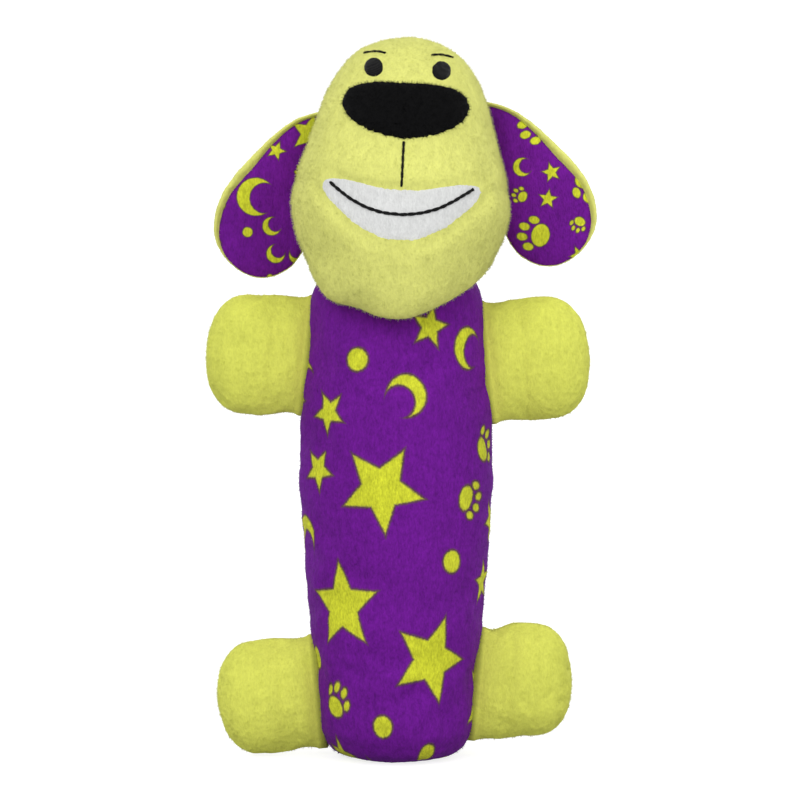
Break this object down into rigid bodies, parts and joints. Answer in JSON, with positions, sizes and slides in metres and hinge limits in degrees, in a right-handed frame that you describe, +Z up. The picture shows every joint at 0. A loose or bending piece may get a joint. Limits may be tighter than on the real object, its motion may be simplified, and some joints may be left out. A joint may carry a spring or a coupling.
{
  "type": "squeaky dog toy",
  "caption": "Stuffed plush dog toy with a tube body, short paws, hanging ears and a squeaker inside, made to be carried, shaken and chewed.",
  "frame": {"origin": "centre of the flat disc under the base, where the toy stands", "axes": "+Z up along the body to the head, -Y the way the face looks, +X the toy's own left"},
  "size_m": [0.1659, 0.105, 0.3049],
  "materials": {
    "lime_plush": "short dense plush, matt, fine grain",
    "printed_plush": "short purple plush printed with lime motifs, matt",
    "black_plush": "short black plush, matt",
    "white_felt": "brushed white felt",
    "black_thread": "embroidery thread, slight sheen",
    "purple_thread": "sewing thread, slight sheen",
    "polyester_fill": "loose white fibre",
    "squeaker_plastic": "soft moulded polythene",
    "reed_plastic": "thin stamped sheet"
  },
  "bodies": {
    "torso": {"body_front_panel": "printed_plush", "body_back_panel": "printed_plush", "base_panel": "printed_plush", "body_filling": "polyester_fill", "closing_thread": "purple_thread", "squeaker_back_plate": "squeaker_plastic", "squeaker_folds": "squeaker_plastic", "reed_holder": "squeaker_plastic"},
    "neck": {"neck_seam_roll": "printed_plush"},
    "head": {"face_panel": "lime_plush", "chin_panel": "lime_plush", "head_back_panel": "lime_plush", "head_filling": "polyester_fill", "nose_patch": "black_plush", "mouth_patch": "white_felt", "smile_stitch": "black_thread", "philtrum_stitch": "black_thread", "eye_left": "black_thread", "eye_right": "black_thread", "brow_stitch_left": "black_thread", "brow_stitch_right": "black_thread"},
    "ear_left": {"ear_left_outer": "lime_plush", "ear_left_lining": "printed_plush"},
    "ear_right": {"ear_right_outer": "lime_plush", "ear_right_lining": "printed_plush"},
    "arm_left": {"arm_left_front_panel": "lime_plush", "arm_left_back_panel": "lime_plush", "arm_left_filling": "polyester_fill"},
    "arm_right": {"arm_right_front_panel": "lime_plush", "arm_right_back_panel": "lime_plush", "arm_right_filling": "polyester_fill"},
    "leg_left": {"leg_left_front_panel": "lime_plush", "leg_left_back_panel": "lime_plush", "leg_left_filling": "polyester_fill"},
    "leg_right": {"leg_right_front_panel": "lime_plush", "leg_right_back_panel": "lime_plush", "leg_right_filling": "polyester_fill"},
    "squeaker_button": {"squeaker_face": "squeaker_plastic"},
    "squeaker_tongue": {"reed": "reed_plastic"}
  },
  "joints": [
    {"name": "head_turn", "type": "hinge", "parent": "torso", "child": "neck", "pos_m": [0, 0, 0.203], "axis": [0, 0, 1], "range_deg": [-20, 20], "stiffness_Nm_per_rad": 0.2},
    {"name": "head_nod", "type": "hinge", "parent": "neck", "child": "head", "pos_m": [0, 0, 0.203], "axis": [1, 0, 0], "range_deg": [-7, 7], "stiffness_Nm_per_rad": 0.3},
    {"name": "ear_left_flop", "type": "hinge", "parent": "head", "child": "ear_left", "pos_m": [0.03647, 0.006, 0.2827], "axis": [0, -1, 0], "range_deg": [0, 85]},
    {"name": "ear_right_flop", "type": "hinge", "parent": "head", "child": "ear_right", "pos_m": [-0.03087, 0.006, 0.27872], "axis": [0, 1, 0], "range_deg": [0, 85]},
    {"name": "arm_left_fold", "type": "hinge", "parent": "torso", "child": "arm_left", "pos_m": [0.03962, 0, 0.168], "axis": [-0.107, 0, 0.9943], "range_deg": [-45, 45], "stiffness_Nm_per_rad": 0.03},
    {"name": "arm_right_fold", "type": "hinge", "parent": "torso", "child": "arm_right", "pos_m": [-0.03936, 0, 0.171], "axis": [0.1023, 0, 0.9947], "range_deg": [-45, 45], "stiffness_Nm_per_rad": 0.03},
    {"name": "leg_left_fold", "type": "hinge", "parent": "torso", "child": "leg_left", "pos_m": [0.03561, 0, 0.0305], "axis": [0.0996, 0, 0.995], "range_deg": [-45, 45], "stiffness_Nm_per_rad": 0.03},
    {"name": "leg_right_fold", "type": "hinge", "parent": "torso", "child": "leg_right", "pos_m": [-0.03532, 0, 0.0275], "axis": [-0.0934, 0, 0.9956], "range_deg": [-45, 45], "stiffness_Nm_per_rad": 0.03},
    {"name": "squeaker_press", "type": "slide", "parent": "torso", "child": "squeaker_button", "axis": [0, 1, 0], "range_m": [0, 0.008], "stiffness_N_per_m": 300, "deforming": ["squeaker_folds"]},
    {"name": "reed_flutter", "type": "hinge", "parent": "torso", "child": "squeaker_tongue", "pos_m": [0, 0.0122, 0.112], "axis": [1, 0, 0], "range_deg": [-4, 4], "stiffness_Nm_per_rad": 0.002}
  ]
}
